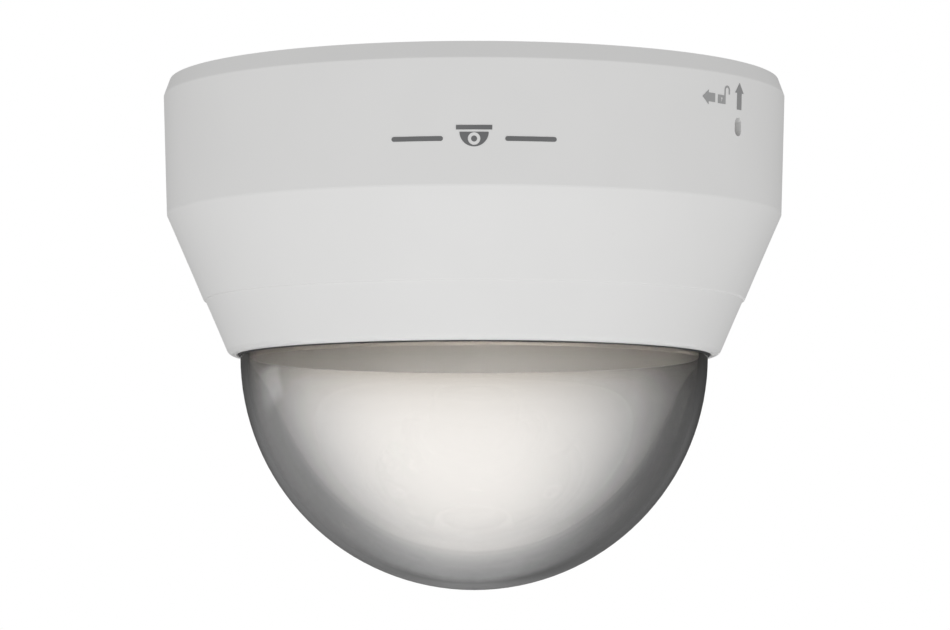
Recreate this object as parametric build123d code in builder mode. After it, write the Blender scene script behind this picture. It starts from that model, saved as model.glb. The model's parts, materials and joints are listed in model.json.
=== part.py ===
from build123d import *
from math import asin, cos, degrees, radians, sin
import os

# Ceiling dome camera: a white cover with a smoked dome, twisted onto a base plate
# that carries the main board and a three-axis gimbal with a varifocal lens.
# The origin is the centre of the face that lies against the ceiling. +Z points up
# into the ceiling, the camera hangs into -Z and its front faces -Y. Millimetres.

# ---- Cover outline, from the ceiling down to the rim around the dome ----
cover_top_radius = 64.75
cover_top_z = -0.3
cover_radius = 66.0
chamfer_z = -3.7
wall_foot_radius = 65.2
wall_foot_z = -28.9
parting_radius = 57.3
parting_z = -47.0
rim_z = -58.5
opening_radius = 50.15
cone_slope = (wall_foot_radius - parting_radius) / (wall_foot_z - parting_z)
cover_bore_radius = 63.2
cone_wall = 2.4
ledge_radius = 54.8
ledge_height = 1.9

# ---- Dome ----
dome_radius = 49.55
dome_wall = 1.5
dome_centre_z = rim_z
dome_seat_z = rim_z + 7.0
dome_flange_radius = 51.2
dome_flange_thickness = 2.0
gasket_thickness = 0.8
retainer_lip_radius = 46.8
retainer_lip_wall = 0.8
retainer_lip_z = rim_z - 0.8
retainer_thickness = 2.0

# ---- Base plate and bayonet ----
plate_radius = 62.3
plate_thickness = 3.0
skirt_outer_radius = 54.0
skirt_inner_radius = 51.5
skirt_foot_z = -12.6
lug_count = 3
lug_first_angle = 30.0
lug_width_angle = 16.0
base_lug_radius = 57.2
base_lug_top_z = -9.3
ring_outer_radius = 62.6
ring_inner_radius = 58.0
ring_lug_radius = 55.2
ring_top_z = -6.0
ring_foot_z = -9.0
ring_screw_radius = 60.3
ring_screw_first_angle = 60.0

# ---- Release latch, behind the oval hole in the cover's side ----
latch_angle = -35.0
latch_z = -14.1
latch_hole_height = 3.8
latch_hole_width = 2.5
latch_nub_radius = 62.6
latch_shoulder_radius = 60.6
latch_tail_radius = 50.6
latch_guide_radius = 54.6
latch_bar_width = 6.0
latch_bar_height = 3.4

# ---- Ceiling screws and cable entry ----
ceiling_screw_circle = 83.5
ceiling_screw_hole_radius = 2.25
cable_entry_y = 36.0
cable_bore_radius = 6.5
grommet_length = 6.0

# ---- Main board ----
board_radius = 49.0
board_bore_radius = 12.0
board_top_z = -5.0
board_thickness = 1.6
board_foot_z = board_top_z - board_thickness
board_post_circle = 90.0
board_post_angles = (65.0, 115.0, 200.0, 340.0)
board_post_radius = 3.0
board_screw_radius = 1.2

# ---- Gimbal: pan about Z, tilt about X, lens rotation about the lens axis ----
hub_radius = 8.0
hub_foot_z = -8.0
spigot_radius = 5.0
spigot_foot_z = -10.6
turntable_radius = 24.0
turntable_top_z = -8.3
turntable_thickness = 2.0
stop_circle_radius = 9.6
arm_inner_x = 18.5
arm_thickness = 2.4
arm_width = 12.0
tilt_z = -34.1
pivot_radius = 1.5
running_clearance = 0.05

# ---- Lens module, measured down from the tilt axis along the lens axis ----
holder_radius = 13.6
cradle_radius = 16.5
cradle_bore_radius = holder_radius + 0.15
cradle_top_z = tilt_z + 5.0
cradle_foot_z = tilt_z - 3.0
holder_top_z = tilt_z + 11.6
holder_foot_z = tilt_z - 4.6
sensor_board_thickness = 1.2
barrel_radius = 8.0
barrel_foot_z = tilt_z - 15.8
zoom_ring_top_z = tilt_z - 5.0
focus_ring_top_z = tilt_z - 9.0
lens_ring_length = 3.6
lens_ring_radius = 10.6
knob_radius = 1.5
filter_pitch = 6.0
filter_window = 5.0

# Where a primitive is held: by the middle of its top face, or of its foot
HANG = (Align.CENTER, Align.CENTER, Align.MAX)
STAND = (Align.CENTER, Align.CENTER, Align.MIN)


def cone_radius(z):
    """Radius of the cover's outer cone at height z."""
    return parting_radius + cone_slope * (z - parting_z)


def turn(*outline, mode=Mode.ADD):
    """Revolve a closed outline of (radius, z) points about the vertical axis."""
    with BuildSketch(Plane.XZ) as section:
        with BuildLine():
            Polyline(*outline, close=True)
        make_face()
    revolve(section.sketch, axis=Axis.Z, mode=mode)


def ring(inner, outer, low, high, mode=Mode.ADD):
    """A plain ring about the vertical axis."""
    turn((inner, low), (outer, low), (outer, high), (inner, high), mode=mode)


def ring_block(inner, outer, low, high, middle, width, mode=Mode.ADD):
    """A stretch of a ring, width degrees wide, with its middle at an angle."""
    with BuildSketch(Plane.XY.offset(low)) as section:
        with BuildLine():
            inner_arc = CenterArc((0, 0), inner, middle - width / 2, width)
            outer_arc = CenterArc((0, 0), outer, middle - width / 2, width)
            Line(inner_arc @ 0, outer_arc @ 0)
            Line(inner_arc @ 1, outer_arc @ 1)
        make_face()
    extrude(section.sketch, amount=high - low, mode=mode)


def screw(head_radius, head_height, shank_radius, shank_length, point=0.6):
    """A cross-recessed screw: its head hangs below the location, its shank rises."""
    Cylinder(head_radius, head_height, align=HANG)
    Cylinder(shank_radius, shank_length - point, align=STAND)
    with Locations((0, 0, shank_length - point)):
        Cone(shank_radius, shank_radius / 2, point, align=STAND)
    with Locations((0, 0, -head_height)):
        for blade_angle in (0, 90):
            Box(
                head_radius * 1.2,
                head_radius * 0.28,
                head_height * 0.9,
                rotation=(0, 0, blade_angle),
                mode=Mode.SUBTRACT,
            )


def block(low, high, mode=Mode.ADD):
    """A box between two opposite corners."""
    size = [b - a for a, b in zip(low, high)]
    middle = [(a + b) / 2 for a, b in zip(low, high)]
    with Locations(tuple(middle)):
        Box(*size, mode=mode)


# ---- Base plate: ceiling face, bayonet skirt, board posts, pan hub, latch guide ----
lug_angles = [lug_first_angle + 360 / lug_count * i for i in range(lug_count)]
plate_foot_z = -plate_thickness
plate_edge_fillet = 0.8
end_stop_gap_angle = 1.6
end_stop_width_angle = 2.4
rib_middle_radius = 30.0
rib_length = 46.0
rib_width = 1.6
hub_key_width = 1.5
hub_key_length = 2.6
pivot_thread_radius = 1.55
pivot_thread_depth = 8.2
screw_pad_radius = 5.0
screw_pad_height = 1.2
grommet_neck_radius = cable_bore_radius + 2.5
grommet_flange_radius = cable_bore_radius + 4.7
grommet_recess = 1.0
guide_length = 5.2
guide_wall = 1.6
pocket_depth = 1.0
pocket_pitch_angle = 30
pocket_width_angle = 24
inner_pocket_radii = (15.0, 36.0)
outer_pocket_radii = (55.5, 59.5)
cable_side_angles = (60, 90, 120)
through = 20.0

with BuildPart() as base_plate:
    ring(0, plate_radius, plate_foot_z, 0)
    fillet(base_plate.edges().group_by(Axis.Z)[0], plate_edge_fillet)
    ring(skirt_inner_radius, skirt_outer_radius, skirt_foot_z, plate_foot_z)
    for angle in lug_angles:
        ring_block(
            skirt_inner_radius + 1,
            base_lug_radius,
            skirt_foot_z,
            base_lug_top_z,
            angle,
            lug_width_angle,
        )
        # the end stop that the cover's lug turns against
        ring_block(
            skirt_inner_radius + 1,
            base_lug_radius,
            skirt_foot_z,
            plate_foot_z,
            angle + lug_width_angle / 2 + end_stop_gap_angle,
            end_stop_width_angle,
        )
    # stiffening ribs between the pan hub and the skirt
    for rib_angle in (0, 180, 270):
        with Locations(Location((0, 0, plate_foot_z), (0, 0, rib_angle))):
            with Locations((rib_middle_radius, 0, 0)):
                Box(rib_length, rib_width, rib_width, align=HANG)
    with Locations((0, 0, plate_foot_z)):
        Cylinder(hub_radius, plate_foot_z - hub_foot_z, align=HANG)
    with Locations((0, 0, hub_foot_z)):
        Cylinder(spigot_radius, hub_foot_z - spigot_foot_z, align=HANG)
    block(
        (-hub_key_width / 2, hub_radius - 1, hub_foot_z + 0.1),
        (hub_key_width / 2, hub_radius + hub_key_length, plate_foot_z),
    )
    for post_angle in board_post_angles:
        with Locations((0, 0, plate_foot_z)):
            with PolarLocations(board_post_circle / 2, 1, post_angle):
                Cylinder(board_post_radius, plate_foot_z - board_top_z, align=HANG)
        with Locations((0, 0, board_top_z)):
            with PolarLocations(board_post_circle / 2, 1, post_angle):
                Cylinder(board_screw_radius + running_clearance, 3.6, align=STAND, mode=Mode.SUBTRACT)
    with Locations((0, 0, plate_foot_z)):
        with PolarLocations(ceiling_screw_circle / 2, 4, 45):
            Cylinder(screw_pad_radius, screw_pad_height, align=HANG)
    with PolarLocations(ceiling_screw_circle / 2, 4, 45):
        Cylinder(ceiling_screw_hole_radius, through, mode=Mode.SUBTRACT)
    with Locations((0, cable_entry_y, 0)):
        Cylinder(grommet_neck_radius, through, mode=Mode.SUBTRACT)
        Cylinder(grommet_flange_radius, grommet_recess, align=HANG, mode=Mode.SUBTRACT)
    with Locations((0, 0, spigot_foot_z)):
        Cylinder(pivot_thread_radius, pivot_thread_depth, align=STAND, mode=Mode.SUBTRACT)
    # shallow pockets in the ceiling face, which keep the moulding's wall even
    for pocket_angle in range(0, 360, pocket_pitch_angle):
        pocket = (-pocket_depth, 1, pocket_angle, pocket_width_angle, Mode.SUBTRACT)
        ring_block(*outer_pocket_radii, *pocket)
        if pocket_angle not in cable_side_angles:
            ring_block(*inner_pocket_radii, *pocket)
    # square guide that the release latch slides in
    guide_bore_width = latch_bar_width + 0.3
    guide_bore_height = latch_bar_height + 0.3
    with Locations(Location((0, 0, 0), (0, 0, latch_angle))):
        with Locations((latch_guide_radius, 0, latch_z)):
            Box(guide_length, guide_bore_width + 2 * guide_wall, guide_bore_height + 2 * guide_wall)
            Box(guide_length + 3, guide_bore_width, guide_bore_height, mode=Mode.SUBTRACT)

grommet_top_z = -0.1
grommet_foot_z = grommet_top_z - grommet_length
grommet_outer_radius = grommet_flange_radius - 0.2
groove_radius = grommet_neck_radius - 0.05
with BuildPart() as cable_grommet:
    with BuildSketch(Plane.XZ.offset(-cable_entry_y)):
        with BuildLine():
            Polyline(
                (cable_bore_radius, grommet_top_z),
                (grommet_outer_radius, grommet_top_z),
                (grommet_outer_radius, -grommet_recess),
                (groove_radius, -grommet_recess),
                (groove_radius, plate_foot_z),
                (grommet_outer_radius, plate_foot_z),
                (grommet_outer_radius - 0.5, plate_foot_z - 1.2),
                (cable_bore_radius + 1.2, grommet_foot_z),
                (cable_bore_radius, grommet_foot_z),
                close=True,
            )
        make_face()
    revolve(axis=Axis((0, cable_entry_y, 0), (0, 0, 1)))

# ---- Main board and what is soldered to it ----
cable_notch_radius = 12.0
with BuildPart() as main_board:
    ring(board_bore_radius, board_radius, board_foot_z, board_top_z)
    with PolarLocations(ceiling_screw_circle / 2, 4, 45):
        Cylinder(screw_pad_radius + 0.4, through, mode=Mode.SUBTRACT)
    for post_angle in board_post_angles:
        with PolarLocations(board_post_circle / 2, 1, post_angle):
            Cylinder(board_screw_radius + 0.15, through, mode=Mode.SUBTRACT)
    with Locations((0, cable_entry_y, 0)):
        Cylinder(cable_notch_radius, through, mode=Mode.SUBTRACT)
    block(
        (-cable_notch_radius, cable_entry_y, board_foot_z - 1),
        (cable_notch_radius, board_radius + 1, board_top_z + 1),
        mode=Mode.SUBTRACT,
    )

with BuildPart() as board_screws:
    with Locations((0, 0, board_foot_z)):
        for post_angle in board_post_angles:
            with PolarLocations(board_post_circle / 2, 1, post_angle):
                screw(2.4, 1.6, board_screw_radius, 4.8)

jack_left_x = -45.0
jack_right_x = -29.0
jack_back_y = -12.0
jack_mouth_y = 9.0
jack_foot_z = board_foot_z - 13.3
socket_middle_x = (jack_left_x + jack_right_x) / 2
socket_half_width = 6.0
socket_top_z = board_foot_z - 3.2
socket_foot_z = board_foot_z - 11.2
socket_back_y = jack_mouth_y - 14.0
jack_sheet = 0.3
jack_inset = jack_sheet + running_clearance
keyway_half_width = 3.0
keyway_depth = 1.4

with BuildPart() as network_jack_shell:
    block((jack_left_x, jack_back_y, jack_foot_z), (jack_right_x, jack_mouth_y, board_foot_z))
    block(
        (jack_left_x + jack_sheet, jack_back_y + jack_sheet, jack_foot_z + jack_sheet),
        (jack_right_x - jack_sheet, jack_mouth_y + 1, board_foot_z + 1),
        mode=Mode.SUBTRACT,
    )

with BuildPart() as network_jack_insert:
    block(
        (jack_left_x + jack_inset, jack_back_y + jack_inset, jack_foot_z + jack_inset),
        (jack_right_x - jack_inset, jack_mouth_y - 0.4, board_foot_z),
    )
    block(
        (socket_middle_x - socket_half_width, socket_back_y, socket_foot_z),
        (socket_middle_x + socket_half_width, jack_mouth_y, socket_top_z),
        mode=Mode.SUBTRACT,
    )
    # keyway for the plug's latch, on the side away from the board
    block(
        (socket_middle_x - keyway_half_width, socket_back_y, socket_foot_z - keyway_depth),
        (socket_middle_x + keyway_half_width, jack_mouth_y, socket_foot_z + 1),
        mode=Mode.SUBTRACT,
    )

contact_count = 8
contact_pitch = 1.02
contact_width = 0.4
contact_depth = 0.9
with BuildPart() as jack_contacts:
    for i in range(contact_count):
        contact_x = socket_middle_x + (i - (contact_count - 1) / 2) * contact_pitch
        block(
            (contact_x - contact_width / 2, socket_back_y, socket_top_z - contact_depth),
            (contact_x + contact_width / 2, jack_mouth_y - 3.0, socket_top_z),
        )

terminal_middle_x = 36.0
terminal_pole_pitch = 5.0
terminal_pole_x = [terminal_middle_x + side * terminal_pole_pitch / 2 for side in (-1, 1)]
terminal_half_length = 5.1
terminal_half_width = 4.5
terminal_foot_z = board_foot_z - 9.0
terminal_screw_radius = 1.6
terminal_screw_well = 3.2
with BuildPart() as power_terminal:
    block(
        (terminal_middle_x - terminal_half_length, -terminal_half_width, terminal_foot_z),
        (terminal_middle_x + terminal_half_length, terminal_half_width, board_foot_z),
    )
    fillet(power_terminal.edges().filter_by(Axis.X).group_by(Axis.Z)[0], 1.0)
    for pole_x in terminal_pole_x:
        with Locations((pole_x, 0, terminal_foot_z)):
            Cylinder(terminal_screw_radius + 0.1, terminal_screw_well, align=STAND, mode=Mode.SUBTRACT)
        # mouth for the wire
        with Locations((pole_x, terminal_half_width, board_foot_z - 2.8)):
            Box(3.2, 5.0, 3.0, mode=Mode.SUBTRACT)

terminal_screw_length = 2.6
with BuildPart() as terminal_screws:
    for pole_x in terminal_pole_x:
        with Locations((pole_x, 0, terminal_foot_z + terminal_screw_well)):
            Cylinder(terminal_screw_radius, terminal_screw_length, align=HANG)
            with Locations((0, 0, -terminal_screw_length)):
                Box(3.4, 0.5, 1.6, mode=Mode.SUBTRACT)

processor_y = -36.0
processor_width = 14.0
chip_thickness = 1.2
with BuildPart() as processor_chip:
    with Locations((0, processor_y, board_foot_z)):
        Box(processor_width, processor_width, chip_thickness, align=HANG)
    chamfer(processor_chip.edges().filter_by(Axis.Z), 0.4)

heatsink_width = 18.0
heatsink_base = 1.6
fin_count = 7
fin_thickness = 1.0
fin_height = 4.6
heatsink_top_z = board_foot_z - chip_thickness
with BuildPart() as processor_heatsink:
    with Locations((0, processor_y, heatsink_top_z)):
        Box(heatsink_width, heatsink_width, heatsink_base, align=HANG)
    for i in range(fin_count):
        fin_x = (i - (fin_count - 1) / 2) * (heatsink_width - fin_thickness) / (fin_count - 1)
        with Locations((fin_x, processor_y, heatsink_top_z - heatsink_base)):
            Box(fin_thickness, heatsink_width, fin_height, align=HANG)

memory_thickness = 1.0
with BuildPart() as memory_chips:
    with Locations((15.5, -31, board_foot_z)):
        Box(9, 8, memory_thickness, align=HANG)
    with Locations((25, -20, board_foot_z)):
        Box(6, 5, memory_thickness, align=HANG)

with BuildPart() as network_transformer:
    with Locations((-33, -19.5, board_foot_z)):
        Box(10, 8, 5, align=HANG)
    chamfer(network_transformer.edges().group_by(Axis.Z)[0], 0.5)

with BuildPart() as power_inductor:
    with Locations((33, -16, board_foot_z)):
        Box(7, 7, 4, align=HANG)
    fillet(power_inductor.edges().filter_by(Axis.Z), 1.6)

capacitor_radius = 3.15
capacitor_height = 7.4
with BuildPart() as board_capacitors:
    with Locations((43, 9, board_foot_z), (36, 12, board_foot_z), (30.5, 17, board_foot_z)):
        Cylinder(capacitor_radius, capacitor_height, align=HANG)
    fillet(board_capacitors.edges().group_by(Axis.Z)[0], 0.5)

card_middle_x = -16.5
card_width = 11.0
card_length = 15.0
card_thickness = 0.8
card_rest_y = -40.5
card_gap = 0.15
card_socket_height = 1.9
card_socket_mouth_y = card_rest_y + 1
card_z = board_foot_z - card_socket_height / 2
card_place = (card_middle_x, card_rest_y + card_length / 2, card_z)
with BuildPart() as card_socket:
    with Locations((card_middle_x, card_socket_mouth_y + card_length / 2, card_z)):
        Box(card_width + 2, card_length, card_socket_height)
    with Locations(card_place):
        Box(
            card_width + 2 * card_gap,
            card_length + 2 * card_gap,
            card_thickness + 2 * card_gap,
            mode=Mode.SUBTRACT,
        )
    # thumb recess at the socket's mouth
    with Locations((card_middle_x, card_socket_mouth_y, board_foot_z - card_socket_height)):
        Cylinder(3, 1.2, mode=Mode.SUBTRACT)

with BuildPart() as memory_card:
    with Locations(card_place):
        Box(card_width, card_length, card_thickness)
    fillet(memory_card.edges().filter_by(Axis.Z), 0.8)

button_x = 18.0
button_y = -40.0
button_radius = 1.6
button_travel = 0.3
button_well_z = board_foot_z - 1.6
with BuildPart() as reset_switch:
    with Locations((button_x, button_y, board_foot_z)):
        Box(6, 6, 3.4, align=HANG)
    with Locations((button_x, button_y, button_well_z)):
        Cylinder(button_radius + running_clearance, 3, align=HANG, mode=Mode.SUBTRACT)

with BuildPart() as reset_button:
    with Locations((button_x, button_y, button_well_z - button_travel - 0.1)):
        Cylinder(button_radius, 3, align=HANG)
    fillet(reset_button.edges().group_by(Axis.Z)[0], 0.3)

connector_x = 28.0
connector_height = 2.4
with BuildPart() as camera_connector:
    with Locations((connector_x, 0, board_foot_z)):
        Box(3.6, 12, connector_height, align=HANG)
    with Locations((connector_x, 0, board_foot_z - connector_height)):
        Box(1.2, 10.4, 2.8, mode=Mode.SUBTRACT)

# ---- Release latch ----
latch_plane = Plane(
    origin=(0, 0, latch_z),
    x_dir=(0, 0, 1),
    z_dir=(cos(radians(latch_angle)), sin(radians(latch_angle)), 0),
)
latch_plate = 1.2
nub_root = 0.5
with BuildPart() as release_latch:
    with Locations(Location((0, 0, 0), (0, 0, latch_angle))):
        with Locations(((latch_tail_radius + latch_shoulder_radius) / 2, 0, latch_z)):
            Box(latch_shoulder_radius - latch_tail_radius, latch_bar_width, latch_bar_height)
        # end plates that keep the latch in its guide
        with Locations((latch_tail_radius, 0, latch_z)):
            Box(latch_plate, latch_bar_width, 6)
        with Locations((latch_shoulder_radius - latch_plate / 2, 0, latch_z)):
            Box(latch_plate, 8, 5.6)
    with BuildSketch(latch_plane.offset(latch_shoulder_radius - nub_root)):
        SlotOverall(latch_hole_height - 0.4, latch_hole_width - 0.4)
    extrude(amount=latch_nub_radius - latch_shoulder_radius + nub_root)

# ---- Pan stage ----
washer_foot_z = spigot_foot_z - 0.8
with BuildPart() as pan_washer:
    ring(pivot_radius + 0.1, 7.5, washer_foot_z, spigot_foot_z)

with BuildPart() as pan_pivot_screw:
    with Locations((0, 0, washer_foot_z)):
        screw(3.0, 1.8, pivot_radius, 8.4)

turntable_foot_z = turntable_top_z - turntable_thickness
arm_foot_z = tilt_z - arm_width / 2
arm_root_half_width = arm_width / 2 + 2.0
arm_slot_height = 13.0
gusset_half_width = 1.0
gusset_height = 1.4
with BuildPart() as pan_yoke:
    ring(spigot_radius + running_clearance, turntable_radius, turntable_foot_z, turntable_top_z)
    for side in (-1, 1):
        arm_plane = Plane(
            origin=(side * arm_inner_x, 0, 0),
            x_dir=(0, side, 0),
            z_dir=(side, 0, 0),
        )
        with BuildSketch(arm_plane):
            with BuildLine():
                Polyline(
                    (-arm_width / 2, tilt_z),
                    (-arm_root_half_width, turntable_top_z),
                    (arm_root_half_width, turntable_top_z),
                    (arm_width / 2, tilt_z),
                )
                ThreePointArc((arm_width / 2, tilt_z), (0, arm_foot_z), (-arm_width / 2, tilt_z))
            make_face()
            with Locations((0, tilt_z)):
                Circle(pivot_radius + running_clearance, mode=Mode.SUBTRACT)
            with Locations((0, tilt_z + arm_slot_height)):
                SlotOverall(9, 4, rotation=90, mode=Mode.SUBTRACT)
        extrude(amount=arm_thickness)
        # foot gusset between each arm and the turntable
        gusset_x = side * (arm_inner_x + 0.6)
        block(
            (gusset_x - gusset_half_width, -6.5, turntable_foot_z - gusset_height),
            (gusset_x + gusset_half_width, 6.5, turntable_foot_z),
        )
    # openings for the module's flat cable
    with Locations((0, 15, turntable_top_z), (0, -15, turntable_top_z)):
        Cylinder(4, through, mode=Mode.SUBTRACT)
    with Locations((0, -stop_circle_radius, turntable_top_z)):
        Cylinder(0.75, 1.3, align=STAND)

# ---- Tilt stage ----
trunnion_radius = 5.0
trunnion_face_x = 18.2
trunnion_root_x = 15.2
pivot_depth = 2.6
rotation_peg_width = 1.2
with BuildPart() as tilt_cradle:
    ring(0, cradle_radius, cradle_foot_z, cradle_top_z)
    for side in (-1, 1):
        with BuildSketch(Plane.YZ.offset(side * trunnion_face_x)):
            with Locations((0, tilt_z)):
                Circle(trunnion_radius)
        extrude(amount=-side * (trunnion_face_x - trunnion_root_x))
    ring(0, cradle_bore_radius, cradle_foot_z - 3, cradle_top_z + 3, mode=Mode.SUBTRACT)
    for side in (-1, 1):
        with BuildSketch(Plane.YZ.offset(side * trunnion_face_x)):
            with Locations((0, tilt_z)):
                Circle(pivot_radius)
        extrude(amount=-side * pivot_depth, mode=Mode.SUBTRACT)
    # peg that stops the lens rotation
    block(
        (-rotation_peg_width / 2, -cradle_radius + 0.1, cradle_top_z - 0.5),
        (rotation_peg_width / 2, -cradle_radius + 1.2, cradle_top_z + 2.0),
    )

tilt_washer_thickness = 0.6
screw_seat_x = arm_inner_x + arm_thickness + 0.1 + tilt_washer_thickness
with BuildPart() as tilt_screws:
    for side in (-1, 1):
        with Locations(Location((side * screw_seat_x, 0, tilt_z), (0, -side * 90, 0))):
            screw(3.0, 1.8, pivot_radius, screw_seat_x - trunnion_face_x + pivot_depth - 0.2)

with BuildPart() as tilt_washers:
    for side in (-1, 1):
        washer_middle = (side * (screw_seat_x - tilt_washer_thickness / 2), 0, tilt_z)
        with Locations(Location(washer_middle, (0, 90, 0))):
            Cylinder(3.6, tilt_washer_thickness)
            Cylinder(pivot_radius, tilt_washer_thickness, mode=Mode.SUBTRACT)

# ---- Lens module ----
flange_foot_z = cradle_top_z + 0.3
flange_top_z = flange_foot_z + 1.9
flange_radius = holder_radius + 1.3
clip_top_z = cradle_foot_z - 0.3
clip_foot_z = clip_top_z - 0.8
clip_groove_radius = holder_radius - 0.6
cavity_radius = 11.6
cavity_floor_z = tilt_z + 3.0
sensor_screw_circle = holder_radius + cavity_radius
sensor_screw_radius = 0.7
with BuildPart() as lens_holder:
    turn(
        (barrel_radius, holder_foot_z),
        (holder_radius, holder_foot_z),
        (holder_radius, clip_foot_z),
        (clip_groove_radius, clip_foot_z),
        (clip_groove_radius, clip_top_z),
        (holder_radius, clip_top_z),
        (holder_radius, flange_foot_z),
        (flange_radius, flange_foot_z),
        (flange_radius, flange_top_z),
        (holder_radius, flange_top_z),
        (holder_radius, holder_top_z),
        (cavity_radius, holder_top_z),
        (cavity_radius, cavity_floor_z),
        (barrel_radius, cavity_floor_z),
    )
    # tooth that meets the cradle's peg at either end of the rotation
    ring_block(holder_radius, cradle_radius - 0.3, flange_foot_z, flange_top_z, 90, 8)
    with Locations((0, 0, holder_top_z)):
        with PolarLocations(sensor_screw_circle / 2, 3, 30):
            Cylinder(sensor_screw_radius + running_clearance, 5, align=HANG, mode=Mode.SUBTRACT)

clip_gap_angle = 36
with BuildPart() as holder_clip:
    ring(clip_groove_radius, holder_radius + 1.1, clip_foot_z, clip_top_z)
    ring_block(
        clip_groove_radius / 2,
        holder_radius + 3,
        clip_foot_z - 1,
        clip_top_z + 1,
        180,
        clip_gap_angle,
        mode=Mode.SUBTRACT,
    )

sensor_board_top_z = holder_top_z + sensor_board_thickness
with BuildPart() as sensor_board:
    ring(0, holder_radius, holder_top_z, sensor_board_top_z)
    with Locations((0, 0, holder_top_z)):
        with PolarLocations(sensor_screw_circle / 2, 3, 30):
            Cylinder(sensor_screw_radius + 0.1, through, mode=Mode.SUBTRACT)

with BuildPart() as sensor_screws:
    with Locations(Location((0, 0, sensor_board_top_z), (180, 0, 0))):
        with PolarLocations(sensor_screw_circle / 2, 3, -30):
            screw(1.4, 1.0, sensor_screw_radius, 5.0)

sensor_connector_y = 3.5
sensor_connector_height = 1.6
with BuildPart() as sensor_connector:
    with Locations((0, sensor_connector_y, sensor_board_top_z)):
        Box(8, 3.2, sensor_connector_height, align=STAND)
    with Locations((0, sensor_connector_y, sensor_board_top_z + sensor_connector_height)):
        Box(6.8, 1.0, 1.8, mode=Mode.SUBTRACT)

sensor_thickness = 1.0
with BuildPart() as image_sensor:
    with Locations((0, 0, holder_top_z)):
        Box(8, 7, sensor_thickness, align=HANG)
    with Locations((0, 0, holder_top_z - sensor_thickness)):
        Box(5.8, 4.4, 0.3, mode=Mode.SUBTRACT)

# ---- Day and night filter switcher ----
filter_plate_z = tilt_z + 7.4
filter_plate_thickness = 1.2
channel_width = 8.0
channel_length = 19.4
channel_gap = 0.2
light_path_radius = 3.4
with BuildPart() as filter_housing:
    ring(0, cavity_radius - 0.1, filter_plate_z - 2.0, filter_plate_z + 2.0)
    with Locations((0, 0, filter_plate_z)):
        Cylinder(light_path_radius, through, mode=Mode.SUBTRACT)
        Box(
            channel_length,
            channel_width,
            filter_plate_thickness + 2 * channel_gap,
            mode=Mode.SUBTRACT,
        )

filter_frame_edge = 0.8
filter_glass_thickness = 0.6
with BuildPart() as filter_carriage:
    with Locations((filter_pitch / 2, 0, filter_plate_z)):
        Box(
            filter_pitch + filter_window + 2 * filter_frame_edge,
            channel_width - 2 * channel_gap,
            filter_plate_thickness,
        )
    with Locations((0, 0, filter_plate_z), (filter_pitch, 0, filter_plate_z)):
        Box(filter_window, filter_window, through, mode=Mode.SUBTRACT)

with BuildPart() as infrared_filter:
    with Locations((0, 0, filter_plate_z)):
        Box(filter_window, filter_window, filter_glass_thickness)

with BuildPart() as clear_filter:
    with Locations((filter_pitch, 0, filter_plate_z)):
        Box(filter_window, filter_window, filter_glass_thickness)

# ---- Varifocal lens ----
barrel_bore_radius = 6.4
front_lens_radius = 7.0
front_lens_seat_z = tilt_z - 11.6
front_lens_crown_z = tilt_z - 17.6
with BuildPart() as lens_barrel:
    turn(
        (barrel_bore_radius, cavity_floor_z),
        (barrel_radius, cavity_floor_z),
        (barrel_radius, barrel_foot_z),
        (front_lens_radius, barrel_foot_z),
        (front_lens_radius, front_lens_seat_z),
        (barrel_bore_radius, front_lens_seat_z),
    )

rear_lens_edge = 0.8
rear_lens_sag = 1.6
rear_lens_curve = (barrel_bore_radius**2 + rear_lens_sag**2) / (2 * rear_lens_sag)
rear_lens_angle = degrees(asin(barrel_bore_radius / rear_lens_curve))
with BuildPart() as rear_lens:
    with BuildSketch(Plane.XZ):
        with BuildLine():
            centre_z = tilt_z - rear_lens_edge - rear_lens_sag + rear_lens_curve
            CenterArc((0, centre_z), rear_lens_curve, -90, rear_lens_angle)
            Polyline(
                (barrel_bore_radius, tilt_z - rear_lens_edge),
                (barrel_bore_radius, tilt_z + rear_lens_edge),
                (0, tilt_z + rear_lens_edge),
                (0, tilt_z - rear_lens_edge - rear_lens_sag),
            )
        make_face()
    revolve(axis=Axis.Z)

with BuildPart() as iris_plate:
    ring(2.4, barrel_bore_radius, tilt_z - 6.0, tilt_z - 5.4)

front_lens_edge_z = barrel_foot_z + 0.6
front_lens_sag = front_lens_edge_z - front_lens_crown_z
front_lens_curve = (front_lens_radius**2 + front_lens_sag**2) / (2 * front_lens_sag)
front_lens_angle = degrees(asin(front_lens_radius / front_lens_curve))
with BuildPart() as front_lens:
    with BuildSketch(Plane.XZ):
        with BuildLine():
            centre_z = front_lens_crown_z + front_lens_curve
            CenterArc((0, centre_z), front_lens_curve, -90, front_lens_angle)
            Polyline(
                (front_lens_radius, front_lens_edge_z),
                (front_lens_radius, front_lens_seat_z),
                (0, front_lens_seat_z),
                (0, front_lens_crown_z),
            )
        make_face()
    revolve(axis=Axis.Z)

bezel_radius = 8.9
bezel_top_z = tilt_z - 13.1
bezel_foot_z = tilt_z - 16.7
with BuildPart() as lens_bezel:
    turn(
        (barrel_radius, bezel_top_z),
        (bezel_radius, bezel_top_z),
        (bezel_radius, bezel_foot_z + 0.4),
        (bezel_radius - 0.4, bezel_foot_z),
        (front_lens_radius + 0.2, bezel_foot_z),
        (front_lens_radius - 0.1, barrel_foot_z),
        (barrel_radius, barrel_foot_z),
    )

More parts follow.
